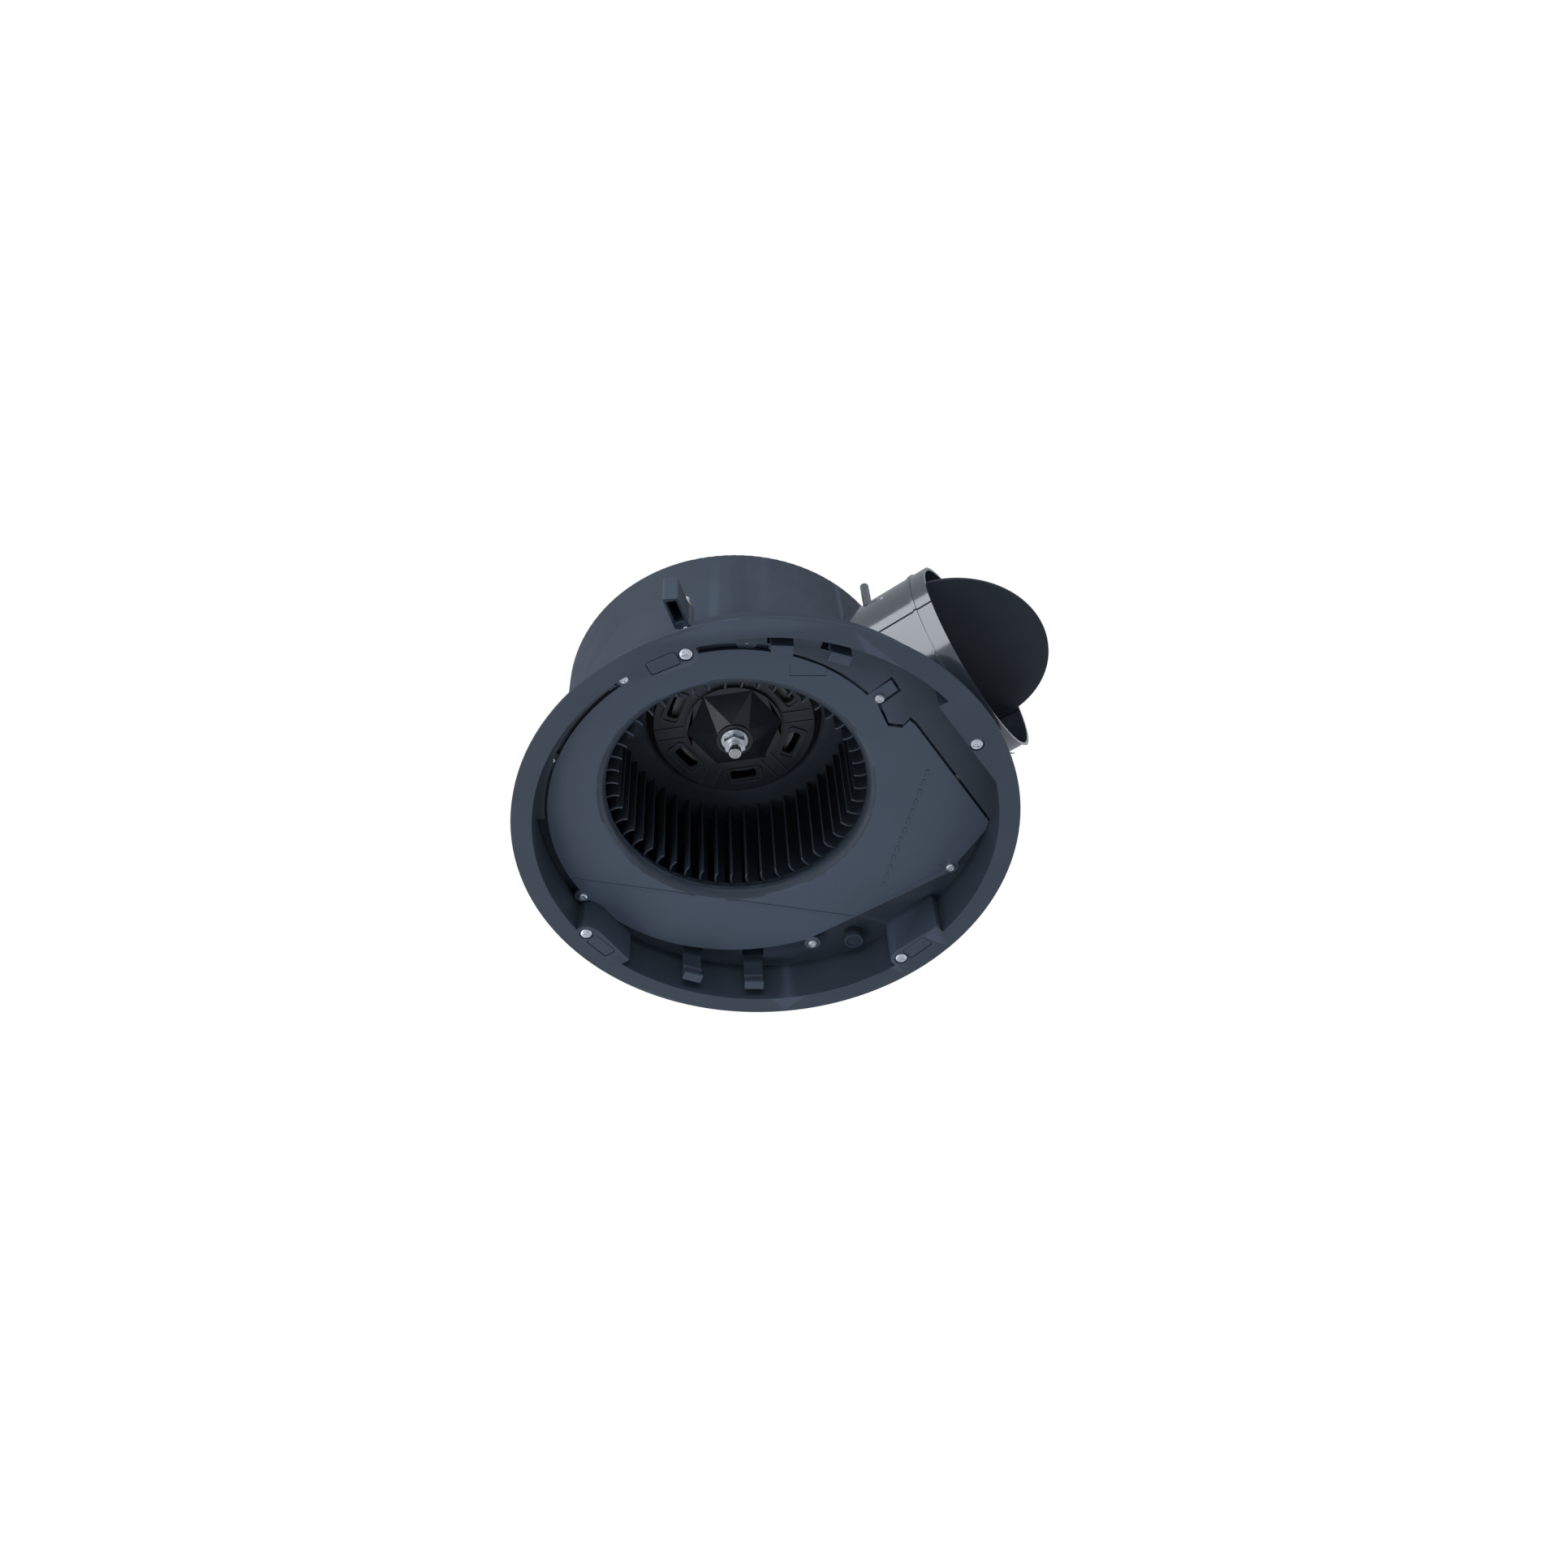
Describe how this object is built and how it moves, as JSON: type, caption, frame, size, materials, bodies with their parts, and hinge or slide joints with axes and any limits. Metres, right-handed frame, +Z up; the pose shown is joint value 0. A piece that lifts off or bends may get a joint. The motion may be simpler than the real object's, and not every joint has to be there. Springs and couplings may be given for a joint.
{
  "type": "ceiling extractor fan unit",
  "caption": "Round flanged ceiling extractor fan body with a centrifugal impeller, a drum housing, a side duct spigot with a pivoting flap, and swing-out ceiling clamps.",
  "frame": {"origin": "on the axis of the round flange and collar, in the plane of the flange's upper face, which bears on the ceiling", "axes": "+Z up into the ceiling void along the collar's axis, +X along the duct spigot's axis, pointing out of its mouth"},
  "size_m": [0.3548, 0.3137, 0.1376],
  "materials": {
    "slate_plastic": "fine-textured satin moulding, slate blue-grey",
    "gloss_slate": "polished, slate blue-grey",
    "black_plastic": "satin black",
    "zinc_steel": "bright zinc plating",
    "clamp_plastic": "satin, slate blue-grey",
    "brass_bush": "turned",
    "shaft_steel": "ground",
    "core_steel": "grey coated sheet",
    "copper": "enamelled wire",
    "rubber": "matt"
  },
  "bodies": {
    "fan_body": {"ceiling_flange": "slate_plastic", "clamp_pads": "slate_plastic", "fascia_hooks": "slate_plastic", "inlet_plate": "slate_plastic", "scroll_casing": "slate_plastic", "terminal_box": "slate_plastic", "terminal_cover": "slate_plastic", "duct_spigot": "gloss_slate", "terminal_block": "black_plastic", "cable_gland": "black_plastic", "run_capacitor": "black_plastic", "plate_screws": "zinc_steel", "casing_screws": "zinc_steel", "spigot_base_screws": "zinc_steel", "spigot_foot_screw": "zinc_steel", "motor_screws": "zinc_steel", "cover_screws": "zinc_steel", "flap_pin": "zinc_steel", "lower_bearing": "shaft_steel", "upper_bearing": "shaft_steel", "stator_core": "core_steel", "motor_lower_bell": "core_steel", "motor_upper_bell": "core_steel", "motor_plate": "core_steel", "stator_windings": "copper", "motor_grommets": "rubber", "lead_grommet": "rubber", "outlet_gasket": "rubber"},
    "impeller": {"impeller_blades": "black_plastic", "impeller_hub": "black_plastic", "hub_washer": "zinc_steel", "hub_nut": "zinc_steel", "motor_shaft": "shaft_steel", "rotor": "shaft_steel"},
    "flap": {"damper_flap": "black_plastic"},
    "clamp_screw_near_body": {"clamp_screw_near": "zinc_steel"},
    "clamp_grip_near": {"clamp_bush_near": "brass_bush"},
    "clamp_finger_near": {"clamp_arm_near": "clamp_plastic"},
    "clamp_screw_side_body": {"clamp_screw_side": "zinc_steel"},
    "clamp_grip_side": {"clamp_bush_side": "brass_bush"},
    "clamp_finger_side": {"clamp_arm_side": "clamp_plastic"},
    "clamp_screw_far_body": {"clamp_screw_far": "zinc_steel"},
    "clamp_grip_far": {"clamp_bush_far": "brass_bush"},
    "clamp_finger_far": {"clamp_arm_far": "clamp_plastic"}
  },
  "joints": [
    {"name": "impeller_spin", "type": "hinge", "parent": "fan_body", "child": "impeller", "pos_m": [-0.0061, -0.021, 0.08], "axis": [0, 0, 1], "continuous": true},
    {"name": "flap_swing", "type": "hinge", "parent": "fan_body", "child": "flap", "pos_m": [0.1227, 0.0107, 0.0868], "axis": [0, 1, 0], "range_deg": [0, 69]},
    {"name": "clamp_turn_near", "type": "hinge", "parent": "fan_body", "child": "clamp_screw_near_body", "pos_m": [0.03776, -0.13169, 0], "axis": [0, 0, 1], "range_deg": [-1543.84, 8229.56]},
    {"name": "clamp_travel_near", "type": "slide", "parent": "fan_body", "child": "clamp_grip_near", "axis": [0, 0, 1], "range_m": [-0.016, 0.003]},
    {"name": "clamp_swing_near", "type": "hinge", "parent": "clamp_grip_near", "child": "clamp_finger_near", "pos_m": [0.03776, -0.13169, 0.04], "axis": [0, 0, 1], "range_deg": [-90, 0]},
    {"name": "clamp_turn_side", "type": "hinge", "parent": "fan_body", "child": "clamp_screw_side_body", "pos_m": [0.01194, 0.13648, 0], "axis": [0, 0, 1], "range_deg": [-1543.84, 8229.56]},
    {"name": "clamp_travel_side", "type": "slide", "parent": "fan_body", "child": "clamp_grip_side", "axis": [0, 0, 1], "range_m": [-0.016, 0.003]},
    {"name": "clamp_swing_side", "type": "hinge", "parent": "clamp_grip_side", "child": "clamp_finger_side", "pos_m": [0.01194, 0.13648, 0.04], "axis": [0, 0, 1], "range_deg": [-90, 0]},
    {"name": "clamp_turn_far", "type": "hinge", "parent": "fan_body", "child": "clamp_screw_far_body", "pos_m": [-0.13699, -0.00144, 0], "axis": [0, 0, 1], "range_deg": [-1543.84, 8229.56]},
    {"name": "clamp_travel_far", "type": "slide", "parent": "fan_body", "child": "clamp_grip_far", "axis": [0, 0, 1], "range_m": [-0.016, 0.003]},
    {"name": "clamp_swing_far", "type": "hinge", "parent": "clamp_grip_far", "child": "clamp_finger_far", "pos_m": [-0.13699, -0.00144, 0.04], "axis": [0, 0, 1], "range_deg": [-90, 0]}
  ],
  "couplings": [
    {"joint": "clamp_turn_near", "follows": "clamp_travel_near", "rad_per_m": -8976},
    {"joint": "clamp_turn_side", "follows": "clamp_travel_side", "rad_per_m": -8976},
    {"joint": "clamp_turn_far", "follows": "clamp_travel_far", "rad_per_m": -8976}
  ]
}
